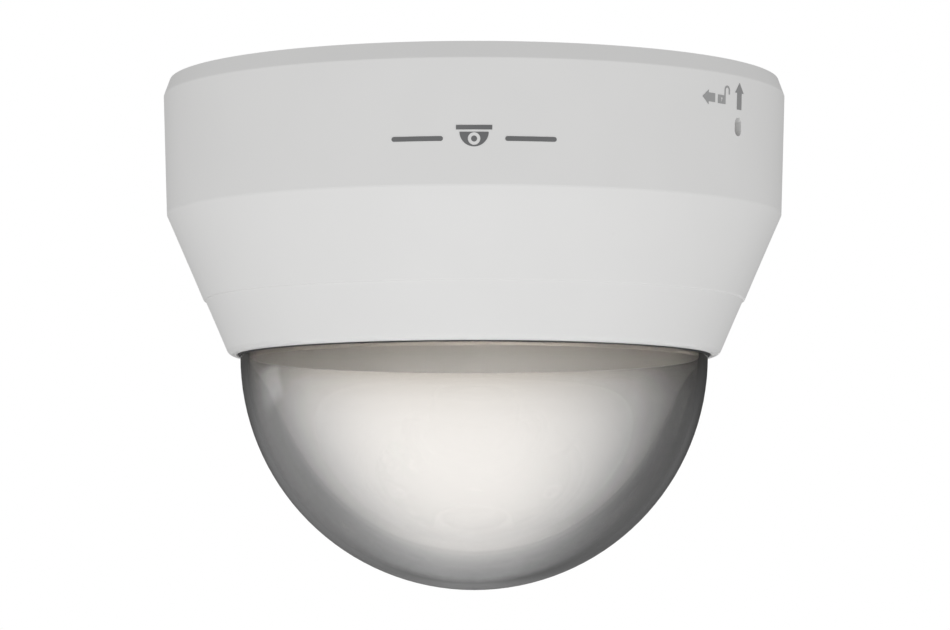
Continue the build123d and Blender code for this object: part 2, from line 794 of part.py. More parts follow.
grip_count = 24
lens_controls = {}
for ring_name, ring_top in (("zoom", zoom_ring_top_z), ("focus", focus_ring_top_z)):
    knob_z = ring_top - lens_ring_length / 2
    with BuildPart() as lens_ring:
        ring(barrel_radius + running_clearance, lens_ring_radius, ring_top - lens_ring_length, ring_top)
        with Locations((0, 0, knob_z)):
            with PolarLocations(lens_ring_radius + 0.25, grip_count, 360 / grip_count / 2):
                Cylinder(0.6, lens_ring_length + 1, mode=Mode.SUBTRACT)
        with Locations(Location((0, -barrel_radius - 1.6, knob_z), (90, 0, 0))):
            Cylinder(0.8, 6, mode=Mode.SUBTRACT)
    with BuildPart() as lock_knob:
        with Locations(Location((0, -lens_ring_radius, knob_z), (90, 0, 0))):
            Cylinder(0.75, 2.2, align=HANG)
            Cylinder(knob_radius, 3.2, align=STAND)
            # grip flutes
            with PolarLocations(knob_radius + 0.1, 10):
                Cylinder(0.22, 7, mode=Mode.SUBTRACT)
    lens_controls[f"{ring_name}_ring"] = lens_ring
    lens_controls[f"{ring_name}_lock_knob"] = lock_knob

# ---- Bayonet ring, screwed to the cover's inner bosses ----
with BuildPart() as bayonet_ring:
    ring(ring_inner_radius, ring_outer_radius, ring_foot_z, ring_top_z)
    for angle in lug_angles:
        ring_block(
            ring_lug_radius,
            ring_inner_radius + 1,
            ring_foot_z,
            ring_top_z,
            angle,
            lug_width_angle,
        )
    with PolarLocations(ring_screw_radius, lug_count, ring_screw_first_angle):
        Cylinder(1.3, through, mode=Mode.SUBTRACT)

with BuildPart() as bayonet_screws:
    with Locations(Location((0, 0, ring_top_z), (180, 0, 0))):
        with PolarLocations(ring_screw_radius, lug_count, ring_screw_first_angle):
            screw(2.2, 1.5, 1.2, 9.0)

# ---- Cover: cylindrical wall, cone below it, open at both ends ----
ledge_top_z = parting_z + ledge_height
boss_foot_z = -20.0
with BuildPart() as cover_shell:
    turn(
        (cover_bore_radius, cover_top_z),
        (cover_top_radius, cover_top_z),
        (cover_radius, chamfer_z),
        (wall_foot_radius, wall_foot_z),
        (parting_radius, parting_z),
        (ledge_radius, parting_z),
        (ledge_radius, ledge_top_z),
        (cone_radius(ledge_top_z) - cone_wall, ledge_top_z),
        (cover_bore_radius, wall_foot_z - 0.6),
    )
    with Locations((0, 0, ring_foot_z)):
        with PolarLocations(ring_screw_radius, lug_count, ring_screw_first_angle):
            Cylinder(2.5, ring_foot_z - boss_foot_z, align=HANG)
            with Locations((2.2, 0, 0)):
                Box(3.2, 2.0, ring_foot_z - boss_foot_z, align=HANG)
            Cylinder(1.25, 8.0, align=HANG, mode=Mode.SUBTRACT)
    with BuildSketch(latch_plane.offset(cover_bore_radius - 5)):
        SlotOverall(latch_hole_height, latch_hole_width)
    extrude(amount=12, mode=Mode.SUBTRACT)
    for crease_z, crease_fillet in ((chamfer_z, 0.5), (wall_foot_z, 1.0), (parting_z, 0.5)):
        creases = cover_shell.edges().filter_by(GeomType.CIRCLE)
        creases = creases.filter_by_position(Axis.Z, crease_z - 0.01, crease_z + 0.01)
        fillet(creases, crease_fillet)

# ---- Trim ring around the dome, hooked into the foot of the cover ----
trim_step = 0.35
trim_top_radius = parting_radius - trim_step
trim_lip_radius = trim_top_radius + cone_slope * (rim_z - parting_z)
collar_outer_radius = ledge_radius - 0.2
collar_inner_radius = 52.8
collar_top_z = parting_z + 4.0
rib_radius = opening_radius + 1.2
rib_top_z = rim_z + 4.2
rib_blend_z = rim_z + 7.6
hook_count = 6
hook_width_angle = 10
with BuildPart() as trim_ring:
    turn(
        (trim_top_radius, parting_z),
        (trim_lip_radius, rim_z),
        (opening_radius, rim_z),
        (opening_radius, dome_seat_z),
        (rib_radius, dome_seat_z),
        (rib_radius, rib_top_z),
        (collar_inner_radius, rib_blend_z),
        (collar_inner_radius, collar_top_z),
        (collar_outer_radius, collar_top_z),
        (collar_outer_radius, parting_z),
    )
    rim_edges = trim_ring.edges().group_by(Axis.Z)[0].sort_by(SortBy.LENGTH)
    fillet(rim_edges[-1], 1.7)
    rim_edges = trim_ring.edges().group_by(Axis.Z)[0].sort_by(SortBy.LENGTH)
    fillet(rim_edges[0], 0.3)
    for i in range(hook_count):
        ring_block(
            collar_outer_radius - 0.5,
            collar_outer_radius + 0.8,
            ledge_top_z + 0.05,
            collar_top_z,
            lug_first_angle + 360 / hook_count * i,
            hook_width_angle,
        )

# ---- Dome, its seal and the ring nut that holds it ----
flange_foot = dome_seat_z + gasket_thickness
flange_top = flange_foot + dome_flange_thickness
dome_bore_radius = dome_radius - dome_wall
with BuildPart() as dome_bubble:
    with BuildSketch(Plane.XZ):
        with BuildLine():
            CenterArc((0, dome_centre_z), dome_radius, -90, 90)
            Polyline(
                (dome_radius, dome_centre_z),
                (dome_radius, flange_foot),
                (dome_flange_radius, flange_foot),
                (dome_flange_radius, flange_top),
                (dome_bore_radius, flange_top),
                (dome_bore_radius, dome_centre_z),
            )
            CenterArc((0, dome_centre_z), dome_bore_radius, -90, 90)
            Line((0, dome_centre_z - dome_bore_radius), (0, dome_centre_z - dome_radius))
        make_face()
    revolve(axis=Axis.Z)

# the seal's tapered sleeve shows as a thin dark line between the rim and the dome
sleeve_inner_radius = dome_radius + 0.05
sleeve_outer_radius = opening_radius - 0.05
sleeve_lip_radius = sleeve_inner_radius + 0.15
sleeve_foot_z = rim_z - 0.25
sleeve_taper_z = rim_z + 0.3
with BuildPart() as dome_gasket:
    turn(
        (sleeve_inner_radius, sleeve_foot_z),
        (sleeve_lip_radius, sleeve_foot_z),
        (sleeve_outer_radius, sleeve_taper_z),
        (sleeve_outer_radius, dome_seat_z),
        (dome_flange_radius, dome_seat_z),
        (dome_flange_radius, flange_foot),
        (sleeve_inner_radius, flange_foot),
    )

retainer_top = flange_top + retainer_thickness
with BuildPart() as dome_retainer:
    turn(
        (retainer_lip_radius, retainer_lip_z),
        (retainer_lip_radius + retainer_lip_wall, retainer_lip_z),
        (retainer_lip_radius + retainer_lip_wall, flange_top),
        (collar_inner_radius, flange_top),
        (collar_inner_radius, retainer_top),
        (retainer_lip_radius, retainer_top),
    )
    # notches for a pin spanner
    with Locations((0, 0, retainer_top)):
        with PolarLocations(collar_inner_radius, 4, 45):
            Cylinder(1.6, 1.2, align=HANG, mode=Mode.SUBTRACT)

pieces = {
    "base_plate": base_plate,
    "cable_grommet": cable_grommet,
    "main_board": main_board,
    "board_screws": board_screws,
    "network_jack_shell": network_jack_shell,
    "network_jack_insert": network_jack_insert,
    "jack_contacts": jack_contacts,
    "power_terminal": power_terminal,
    "terminal_screws": terminal_screws,
    "processor_chip": processor_chip,
    "processor_heatsink": processor_heatsink,
    "memory_chips": memory_chips,
    "network_transformer": network_transformer,
    "power_inductor": power_inductor,
    "board_capacitors": board_capacitors,
    "card_socket": card_socket,
    "memory_card": memory_card,
    "reset_switch": reset_switch,
    "reset_button": reset_button,
    "camera_connector": camera_connector,
    "release_latch": release_latch,
    "pan_washer": pan_washer,
    "pan_pivot_screw": pan_pivot_screw,
    "pan_yoke": pan_yoke,
    "tilt_cradle": tilt_cradle,
    "tilt_screws": tilt_screws,
    "tilt_washers": tilt_washers,
    "lens_holder": lens_holder,
    "holder_clip": holder_clip,
    "sensor_board": sensor_board,
    "sensor_screws": sensor_screws,
    "sensor_connector": sensor_connector,
    "image_sensor": image_sensor,
    "filter_housing": filter_housing,
    "filter_carriage": filter_carriage,
    "infrared_filter": infrared_filter,
    "clear_filter": clear_filter,
    "lens_barrel": lens_barrel,
    "rear_lens": rear_lens,
    "iris_plate": iris_plate,
    "front_lens": front_lens,
    "lens_bezel": lens_bezel,
    **lens_controls,
    "bayonet_ring": bayonet_ring,
    "bayonet_screws": bayonet_screws,
    "cover_shell": cover_shell,
    "trim_ring": trim_ring,
    "dome_bubble": dome_bubble,
    "dome_gasket": dome_gasket,
    "dome_retainer": dome_retainer,
}

os.makedirs("parts", exist_ok=True)
for piece_name, piece in pieces.items():
    piece.part.label = piece_name
    export_step(piece.part, f"parts/{piece_name}.step")
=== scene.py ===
import json
import math

import bmesh
import bpy
from mathutils import Euler, Matrix, Vector


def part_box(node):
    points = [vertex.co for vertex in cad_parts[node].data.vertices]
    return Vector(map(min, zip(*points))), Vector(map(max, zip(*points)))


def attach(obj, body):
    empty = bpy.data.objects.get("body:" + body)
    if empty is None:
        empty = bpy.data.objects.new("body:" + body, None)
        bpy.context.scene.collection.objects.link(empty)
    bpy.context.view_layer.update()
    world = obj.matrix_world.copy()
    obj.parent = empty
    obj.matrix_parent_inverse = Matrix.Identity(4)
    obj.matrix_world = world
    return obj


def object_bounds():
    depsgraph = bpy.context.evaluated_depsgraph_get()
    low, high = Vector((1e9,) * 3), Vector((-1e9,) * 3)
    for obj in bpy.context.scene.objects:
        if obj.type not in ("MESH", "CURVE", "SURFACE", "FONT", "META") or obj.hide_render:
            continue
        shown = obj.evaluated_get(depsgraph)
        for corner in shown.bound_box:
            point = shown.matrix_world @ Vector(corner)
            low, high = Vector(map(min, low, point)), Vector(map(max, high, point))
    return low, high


# Looks of the ceiling dome camera. Everything is in metres, in the CAD frame:
# the origin is on the ceiling, the camera hangs into -Z and its front faces -Y.
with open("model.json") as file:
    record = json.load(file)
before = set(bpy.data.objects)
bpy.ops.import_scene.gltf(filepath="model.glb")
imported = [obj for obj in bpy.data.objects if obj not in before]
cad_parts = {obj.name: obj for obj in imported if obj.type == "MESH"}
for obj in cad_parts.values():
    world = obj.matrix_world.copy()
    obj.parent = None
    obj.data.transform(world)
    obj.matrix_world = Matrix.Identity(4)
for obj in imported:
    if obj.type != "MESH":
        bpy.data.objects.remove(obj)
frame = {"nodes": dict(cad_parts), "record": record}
cad_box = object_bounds()
nodes = frame["nodes"]
MM = 0.001


# ---------------------------------------------------------------- shader helpers
class Shader:
    """A Principled material with short ways to add procedural detail."""

    def __init__(self, name, color, roughness=0.5, **sockets):
        self.material = bpy.data.materials.new(name)
        self.material.use_nodes = True
        self.nodes = self.material.node_tree.nodes
        self.links = self.material.node_tree.links
        self.bsdf = self.nodes["Principled BSDF"]
        self.bsdf.inputs["Base Color"].default_value = (*color, 1)
        self.bsdf.inputs["Roughness"].default_value = roughness
        for socket, value in sockets.items():
            self.bsdf.inputs[socket.replace("_", " ")].default_value = value
        self.material.diffuse_color = (*color, 1)
        self.coords = self.nodes.new("ShaderNodeTexCoord").outputs["Object"]

    def stretched(self, scale):
        """The coordinates, scaled along each axis."""
        mapping = self.nodes.new("ShaderNodeMapping")
        mapping.inputs["Scale"].default_value = scale
        self.links.new(self.coords, mapping.inputs["Vector"])
        return mapping.outputs["Vector"]

    def noise(self, scale, detail=3.0, vector=None, roughness=0.5):
        """A noise value from 0 to 1; scale is in features per metre."""
        texture = self.nodes.new("ShaderNodeTexNoise")
        texture.inputs["Scale"].default_value = scale
        texture.inputs["Detail"].default_value = detail
        texture.inputs["Roughness"].default_value = roughness
        self.links.new(vector or self.coords, texture.inputs["Vector"])
        return texture.outputs["Fac"]

    def ramp(self, value, stops):
        """A colour ramp from (position, colour) stops."""
        node = self.nodes.new("ShaderNodeValToRGB")
        elements = node.color_ramp.elements
        while len(elements) < len(stops):
            elements.new(0.5)
        for element, (position, color) in zip(elements, stops):
            element.position = position
            element.color = (*color, 1)
        self.links.new(value, node.inputs["Fac"])
        return node.outputs["Color"]

    def span(self, value, low, high, out_low, out_high):
        """Map a value from one range to another."""
        node = self.nodes.new("ShaderNodeMapRange")
        node.inputs["From Min"].default_value = low
        node.inputs["From Max"].default_value = high
        node.inputs["To Min"].default_value = out_low
        node.inputs["To Max"].default_value = out_high
        self.links.new(value, node.inputs["Value"])
        return node.outputs["Result"]

    def tint(self, value, low_color, high_color, low=0.35, high=0.65):
        """Vary the base colour between two colours."""
        color = self.ramp(value, [(low, low_color), (high, high_color)])
        self.links.new(color, self.bsdf.inputs["Base Color"])
        return self

    def polish(self, value, smooth, rough, low=0.35, high=0.65):
        """Vary the roughness between two values."""
        self.links.new(self.span(value, low, high, smooth, rough), self.bsdf.inputs["Roughness"])
        return self

    def relief(self, value, height, strength=1.0):
        """Bump from a height value; height is in metres."""
        bump = self.nodes.new("ShaderNodeBump")
        bump.inputs["Distance"].default_value = height
        bump.inputs["Strength"].default_value = strength
        self.links.new(value, bump.inputs["Height"])
        previous = self.bsdf.inputs["Normal"]
        if previous.is_linked:
            self.links.new(previous.links[0].from_socket, bump.inputs["Normal"])
        self.links.new(bump.outputs["Normal"], self.bsdf.inputs["Normal"])
        return self


def lighter(color, factor):
    return tuple(min(1.0, c * factor) for c in color)


# ---------------------------------------------------------------- materials
def moulded_plastic(name, color, roughness=0.42, grain=4200, depth=0.000006, variation=0.006):
    """Injection-moulded plastic with a fine spark-eroded grain."""
    shader = Shader(name, color, roughness)
    broad = shader.noise(60, 2)
    fine = shader.noise(grain, 2, roughness=0.6)
    shader.tint(broad, lighter(color, 1 - variation), lighter(color, 1 + variation))
    shader.polish(fine, roughness - 0.05, roughness + 0.06)
    shader.relief(fine, depth, 0.5)
    return shader


def metal(name, color, roughness=0.3, brush=(1, 1, 1), grain=900):
    """Bare or plated metal with faint brushing and handling marks."""
    shader = Shader(name, color, roughness, Metallic=1.0)
    brushed = shader.noise(grain, 4, shader.stretched(brush))
    smudge = shader.noise(140, 3)
    shader.tint(smudge, lighter(color, 0.9), lighter(color, 1.06))
    shader.polish(brushed, roughness * 0.75, roughness * 1.3)
    shader.relief(brushed, 0.000004, 0.5)
    return shader


def dome_glass_with_rim_shade():
    """Clear polycarbonate with a faint tint, and painted shade that darkens it towards its flange."""
    shader = Shader("polycarbonate_rim_shade", (1, 1, 1), 0.0, Transmission_Weight=1.0, IOR=1.585)
    split = shader.nodes.new("ShaderNodeSeparateXYZ")
    shader.links.new(shader.coords, split.inputs["Vector"])
    # painted shade: the base colour darkens towards the rim, standing for the shade near the housing
    rim_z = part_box("trim_ring")[0].z
    below_rim = shader.span(split.outputs["Z"], rim_z, rim_z - SHADE_DEPTH_SPAN, 0.0, 1.0)
    stops = []
    for i in range(SHADE_RAMP_STOPS):
        position = i / (SHADE_RAMP_STOPS - 1)
        depth = math.exp(-position * SHADE_DEPTH_SPAN / SHADE_DECAY_LENGTH)
        stops.append((position, tuple(SMOKE_CLEAR * (1 - rim * depth) for rim in SHADE_AT_RIM)))
    tint = shader.ramp(below_rim, stops)
    shader.links.new(tint, shader.bsdf.inputs["Base Color"])
    return shader


def glass(name, color, ior=1.52, coat=0.0):
    shader = Shader(name, color, 0.02, Transmission_Weight=1.0, IOR=ior, Coat_Weight=coat)
    smear = shader.noise(220, 3)
    shader.tint(smear, lighter(color, 0.97), color)
    return shader


def board_material():
    """Green solder mask over copper tracks that run at right angles."""
    mask = (0.010, 0.075, 0.030)
    shader = Shader("green_board_mask", mask, 0.32, Coat_Weight=0.35, Coat_Roughness=0.12)
    tracks = shader.nodes.new("ShaderNodeTexBrick")
    tracks.offset = 0.5
    tracks.inputs["Scale"].default_value = 420
    tracks.inputs["Mortar Size"].default_value = 0.09
    tracks.inputs["Mortar Smooth"].default_value = 0.1
    tracks.inputs["Bias"].default_value = -0.2
    tracks.inputs["Brick Width"].default_value = 1.7
    tracks.inputs["Row Height"].default_value = 0.42
    tracks.inputs["Color1"].default_value = (0.008, 0.062, 0.026, 1)
    tracks.inputs["Color2"].default_value = (0.013, 0.088, 0.038, 1)
    tracks.inputs["Mortar"].default_value = (0.020, 0.130, 0.055, 1)
    shader.links.new(shader.coords, tracks.inputs["Vector"])
    shader.links.new(tracks.outputs["Color"], shader.bsdf.inputs["Base Color"])
    shader.relief(tracks.outputs["Fac"], 0.00003, 0.6)
    shader.polish(shader.noise(300, 3), 0.24, 0.4)
    return shader


def rubber_material():
    shader = Shader("black_rubber", (0.018, 0.018, 0.019), 0.72)
    shader.tint(shader.noise(400, 4), (0.014, 0.014, 0.015), (0.026, 0.026, 0.027))
    shader.relief(shader.noise(2600, 2), 0.00002, 0.4)
    return shader


def chip_material():
    shader = Shader("chip_epoxy", (0.022, 0.022, 0.024), 0.55)
    shader.tint(shader.noise(900, 5), (0.018, 0.018, 0.02), (0.03, 0.03, 0.032))
    shader.relief(shader.noise(5200, 2), 0.00001, 0.5)
    return shader


# the dome's glass: its colour well below the rim, the painted shade that it takes off at the rim,
# how fast that painted shade fades with depth, and the depth that the fade is drawn over
SMOKE_CLEAR = 0.975
SHADE_AT_RIM = (0.32, 0.345, 0.385)
SHADE_DECAY_LENGTH = 0.0050
SHADE_DEPTH_SPAN = 0.026
SHADE_RAMP_STOPS = 8
WHITE = (0.800, 0.798, 0.792)
# painted shade: the retainer is white plastic, darkened to this grey to stand for the shade deep in the
# housing
RETAINER_PAINTED_SHADE = (0.26, 0.245, 0.228)
materials = {
    "cover_plastic": moulded_plastic("cover_white", WHITE, 0.40),
    "inner_plastic": moulded_plastic("inner_white", (0.76, 0.76, 0.75), 0.5, depth=0.00002),
    "smoked_dome": dome_glass_with_rim_shade(),
    "seal_rubber": rubber_material(),
    "green_board": board_material(),
    "steel_screw": metal("zinc_plated_steel", (0.62, 0.62, 0.60), 0.28),
    "jack_metal": metal("tinned_sheet", (0.66, 0.66, 0.65), 0.24, brush=(1, 8, 1)),
    "black_plastic": moulded_plastic("black_moulding", (0.022, 0.022, 0.024), 0.45),
    "contact_gold": metal("gold_plate", (0.86, 0.60, 0.22), 0.2),
    "terminal_green": moulded_plastic("terminal_green_pa", (0.03, 0.24, 0.09), 0.4),
    "chip_epoxy": chip_material(),
    "black_anodised": metal("black_anodised_fins", (0.045, 0.045, 0.05), 0.42, brush=(1, 12, 1)),
    "ferrite": moulded_plastic("ferrite_grey", (0.07, 0.07, 0.075), 0.6),
    "can_aluminium": metal("can_aluminium_sleeve", (0.72, 0.72, 0.73), 0.3),
    "card_plastic": moulded_plastic("card_black", (0.03, 0.03, 0.033), 0.35),
    "gimbal_plastic": moulded_plastic("gimbal_black_glassfilled", (0.028, 0.028, 0.030), 0.5, 1800),
    "washer_steel": metal("bright_washer", (0.70, 0.70, 0.69), 0.2),
    "sensor_silicon": Shader("sensor_die", (0.02, 0.03, 0.06), 0.08, Coat_Weight=1.0),
    "red_filter": glass("infrared_cut_glass", (0.75, 0.30, 0.34), coat=0.5),
    "clear_glass": glass("clear_filter_glass", (0.93, 0.97, 0.96)),
    "lens_glass": glass("coated_lens_glass", (0.45, 0.55, 0.78), 1.62, coat=1.0),
    "lens_black": metal("lens_black_anodised", (0.030, 0.030, 0.033), 0.35, brush=(1, 1, 14)),
}
retainer_white_in_painted_shade = moulded_plastic("retainer_white_in_painted_shade", RETAINER_PAINTED_SHADE, 0.55, depth=0.00002)
slot_of_node = {s["node"]: s["material_slot"] for s in frame["record"]["subparts"]}
for node_name, node in nodes.items():
    # painted shade: the retainer gets the darkened grey that stands for the shade it sits in
    finish = retainer_white_in_painted_shade if node_name == "dome_retainer" else materials[slot_of_node[node_name]]
    node.data.materials.clear()
    node.data.materials.append(finish.material)


# ---------------------------------------------------------------- small pieces
# The measures of the small pieces are in millimetres, like the design's, and
# become metres as their points are made.
inks = {
    "print_grey": moulded_plastic("print_ink_grey", (0.285, 0.285, 0.287), 0.5, variation=0.03),
    "print_pale": moulded_plastic("print_ink_pale", (0.36, 0.36, 0.362), 0.5, variation=0.03),
    "print_dark": moulded_plastic("print_ink_dark", (0.15, 0.152, 0.155), 0.5, variation=0.05),
    "print_white": moulded_plastic("print_ink_white", (0.72, 0.72, 0.70), 0.6, variation=0.05),
    "ceramic": moulded_plastic("capacitor_ceramic", (0.42, 0.27, 0.15), 0.5, variation=0.12),
    "tin": metal("tinned_solder", (0.70, 0.70, 0.69), 0.22),
    "green_lamp": moulded_plastic("lamp_window_green", (0.12, 0.55, 0.16), 0.25, variation=0.05),
    "amber_lamp": moulded_plastic("lamp_window_amber", (0.75, 0.38, 0.05), 0.25, variation=0.05),
    "sleeve": moulded_plastic("capacitor_sleeve_dark", (0.02, 0.03, 0.07), 0.35, variation=0.1),
}


def put_in_order(elements, key):
    """Give the corners or the faces of a shape a fixed order, which bevelling doesn't."""
    ranks = {element: rank for rank, element in enumerate(sorted(elements, key=key))}
    elements.sort(key=ranks.get)
    elements.index_update()


def new_piece(name, shape, shader, body):
    """Make an object of a bmesh, with its finish, and let it ride on a body."""
    bmesh.ops.recalc_face_normals(shape, faces=shape.faces)
    put_in_order(shape.verts, lambda vert: tuple(vert.co))
    put_in_order(shape.faces, lambda face: sorted(vert.index for vert in face.verts))
    mesh = bpy.data.meshes.new(name)
    shape.to_mesh(mesh)
    shape.free()
    mesh.materials.append(shader.material)
    obj = bpy.data.objects.new(name, mesh)
    bpy.context.scene.collection.objects.link(obj)
    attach(obj, body)
    return obj


def add_block(shape, middle, size, turn=0.0, bevel=0.06):
    """A block with eased edges, turned about the vertical by an angle in degrees."""
    matrix = Matrix.LocRotScale(
        Vector(middle) * MM, Euler((0, 0, math.radians(turn))), Vector(size) * MM
    )
    corners = bmesh.ops.create_cube(shape, size=1.0, matrix=matrix)["verts"]
    if bevel:
        edges = {edge for corner in corners for edge in corner.link_edges}
        bmesh.ops.bevel(shape, geom=list(edges), offset=bevel * MM, segments=1, affect="EDGES")


def add_turned(shape, outline, centre, segments):
    """A closed outline of (radius, z) points turned about a vertical line."""
    rows = []
    for i in range(segments):
        angle = math.tau * i / segments
        x, y = math.cos(angle), math.sin(angle)
        points = [Vector((centre[0] + r * x, centre[1] + r * y, z)) * MM for r, z in outline]
        rows.append([shape.verts.new(point) for point in points])
    for near, far in zip(rows, rows[1:] + rows[:1]):
        for j in range(len(outline)):
            k = (j + 1) % len(outline)
            shape.faces.new((near[j], near[k], far[k], far[j]))


def closed_ring(inner, outer, top, foot):
    """The section of a flat ring, as (radius, z) points."""
    return [(inner, top), (outer, top), (outer, foot), (inner, foot)]


def arc(middle, radius, first, last, steps=16):
    """Points along an arc, by angle in degrees."""
    angles = [math.radians(first + (last - first) * i / steps) for i in range(steps + 1)]
    return [(middle[0] + radius * math.cos(a), middle[1] + radius * math.sin(a)) for a in angles]


def rounded_bar(left, right, middle, height):
    """A level bar with half-round ends."""
    half = height / 2
    right_end = arc((right - half, middle), half, -90, 90)
    return right_end + arc((left + half, middle), half, 90, 270)


def moved(outline, right, up):
    return [(x + right, y + up) for x, y in outline]


def flat_shape(outlines, thickness, longest=1.2):
    """A thin closed shape, with a hole wherever one outline lies in another."""
    curve = bpy.data.curves.new("outline", "CURVE")
    curve.dimensions = "2D"
    curve.fill_mode = "BOTH"
    curve.extrude = thickness / 2
    for outline in outlines:
        spline = curve.splines.new("POLY")
        spline.points.add(len(outline) - 1)
        spline.use_cyclic_u = True
        for point, (x, y) in zip(spline.points, outline):
            point.co = (x, y, 0, 1)
    holder = bpy.data.objects.new("outline", curve)
    mesh = bpy.data.meshes.new_from_object(holder)
    shape = bmesh.new()
    shape.from_mesh(mesh)
    bpy.data.objects.remove(holder)
    bpy.data.curves.remove(curve)
    bpy.data.meshes.remove(mesh)
    bmesh.ops.remove_doubles(shape, verts=shape.verts, dist=thickness / 20)
    for _ in range(4):
        long_edges = [edge for edge in shape.edges if edge.calc_length() > longest]
        if long_edges:
            bmesh.ops.subdivide_edges(shape, edges=long_edges, cuts=1)
            bmesh.ops.triangulate(shape, faces=[face for face in shape.faces if len(face.verts) > 4])
    return shape


# ---------------------------------------------------------------- printing on the cover
# The cover's wall is a slight cone; a print is laid out flat on it, to the right of
# the middle of the front and down from the ceiling, and then bent round the wall.
WALL_RADIUS = 66.0
WALL_TOP_Z = -3.7
WALL_TAPER = 0.8 / 25.2
INK = 0.03
INK_LIFT = 0.02


def bend_round_wall(shape):
    """Wrap a flat shape round the cover's wall, its front face outwards."""
    for vert in shape.verts:
        around, z, out = vert.co
        radius = WALL_RADIUS + WALL_TAPER * (z - WALL_TOP_Z) + INK_LIFT + out
        angle = around / WALL_RADIUS
        vert.co = Vector((radius * math.sin(angle), -radius * math.cos(angle), z)) * MM


def print_on_wall(name, outlines, ink):
    shape = flat_shape(outlines, INK)
    bend_round_wall(shape)
    new_piece(name, shape, inks[ink], "cover")


def wall_degrees(angle):
    """How far round the wall an angle reaches, from the middle of the front."""
    return math.radians(angle) * WALL_RADIUS


def arrow(head_half, head_length, shaft_half, length):
    """An upright arrow with its tip at the origin."""
    return [
        (0, 0),
        (head_half, -head_length),
        (shaft_half, -head_length),
        (shaft_half, -length),
        (-shaft_half, -length),
        (-shaft_half, -head_length),
        (-head_half, -head_length),
    ]


def turned_left(outline):
    return [(-y, x) for x, y in outline]


def open_padlock():
    """A padlock whose shackle is swung out to the right, with a keyhole."""
    half_width, top, foot = 1.28, 0.0, -1.75
    leg, shackle_radius, stroke = 1.15, 0.95, 0.42
    body = [(-half_width, foot), (half_width, foot), (half_width, top), (-half_width, top)]
    keyhole = arc((0, -0.68), 0.24, -50, 230) + [(-0.13, -1.3), (0.13, -1.3)]
    centre = (half_width + shackle_radius - stroke, leg)
    outer = arc(centre, shackle_radius, 0, 180)
    inner = arc(centre, shackle_radius - stroke, 180, 0)
    left, right = centre[0] - shackle_radius, centre[0] + shackle_radius
    shackle = [(right, 0.35)] + outer + [(left, top + 0.02), (left + stroke, top + 0.02)]
    return [body, keyhole], [shackle + inner + [(right - stroke, 0.35)]]


def turning_marks():
    """To open: press the latch, which the upright arrow shows, and turn to the left."""
    turn_arrow = turned_left(arrow(head_half=1.5, head_length=1.85, shaft_half=0.9, length=3.9))
    turn_arrow = moved(turn_arrow, wall_degrees(44.4), -8.97)
    print_on_wall("print_turn_arrow", [turn_arrow], "print_pale")
    latch_arrow = arrow(head_half=1.67, head_length=2.1, shaft_half=0.89, length=5.5)
    latch_arrow = moved(latch_arrow, wall_degrees(55.2), -5.1)
    print_on_wall("print_latch_arrow", [latch_arrow], "print_grey")
    for name, outlines in zip(("body", "shackle"), open_padlock()):
        outlines = [moved(outline, wall_degrees(49.7), -8.2) for outline in outlines]
        print_on_wall(f"print_padlock_{name}", outlines, "print_pale")


SIGN_Z = -19.75


def front_pictogram():
    """A plain sign for a dome camera between two bars, where a name would be printed."""
    plate_half, plate_height = 3.6, 0.9
    plate = [(-plate_half, 0), (plate_half, 0), (plate_half, plate_height), (-plate_half, plate_height)]
    bowl_radius, eye_radius, pupil_radius = 2.9, 1.25, 0.6
    bowl = moved(arc((0, 0), bowl_radius, 180, 360, 32), 0, SIGN_Z + 1.3)
    eye = moved(arc((0, 0), eye_radius, 0, 345, 23), 0, SIGN_Z - 0.05)
    pupil = moved(arc((0, 0), pupil_radius, 0, 345, 15), 0, SIGN_Z - 0.05)
    print_on_wall("print_sign", [bowl, eye, pupil], "print_dark")
    print_on_wall("print_sign_plate", [moved(plate, 0, SIGN_Z + 1.75)], "print_dark")
    bar_near, bar_far, bar_height = 6.2, 16.6, 0.95
    for name, side in (("left", -1), ("right", 1)):
        left, right = sorted((side * bar_near, side * bar_far))
        bar = rounded_bar(left, right, SIGN_Z, bar_height)
        print_on_wall(f"print_bar_{name}", [bar], "print_dark")


turning_marks()
front_pictogram()


# ---------------------------------------------------------------- on the main board
BOARD_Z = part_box("main_board")[0].z / MM
PAD = 0.04
# rows of small parts: (x, y) of the first, step to the next, how many, turned or not
PART_ROWS = [
    ((10.0, -34.0), (0, 1.5), 5, True),
    ((-8.0, -25.6), (1.6, 0), 11, False),
    ((40.6, -21.0), (0, 2.0), 5, True),
    ((24.4, -6.4), (0, 1.6), 9, True),
    ((-26.4, -9.0), (0, 1.8), 10, True),
    ((-40.8, -21.6), (0, 1.7), 4, True),
    ((-41.0, 11.6), (1.8, 0), 10, False),
    ((-17.0, 21.0), (1.8, 0), 3, False),
    ((13.4, 22.0), (1.7, 0), 4, False),
    ((16.0, 33.0), (1.7, 0), 5, False),
]
# chips with legs: name, middle, width, depth, height, legs on each long side
LEGGED_CHIPS = [
    ("audio_chip", (-33.0, 17.0), 6.0, 4.0, 1.3, 8),
    ("power_chip", (21.0, 27.5), 5.0, 4.0, 1.3, 4),
    ("network_chip", (-21.0, 25.5), 7.0, 5.0, 1.2, 10),
    ("memory_legs_left", (15.5, -31.0), 9.0, 8.0, 0.9, 10),
    ("memory_legs_right", (25.0, -20.0), 6.0, 5.0, 0.9, 6),
]
CHIPS_IN_CAD = ("memory_legs_left", "memory_legs_right")
# the tall capacitors, by the middle of each
CAPACITORS = [(43, 9), (36, 12), (30.5, 17)]
CAPACITOR_RADIUS = 3.15
CAPACITOR_HEIGHT = 7.4
CAPACITOR_RING = (3.5, 3.7)
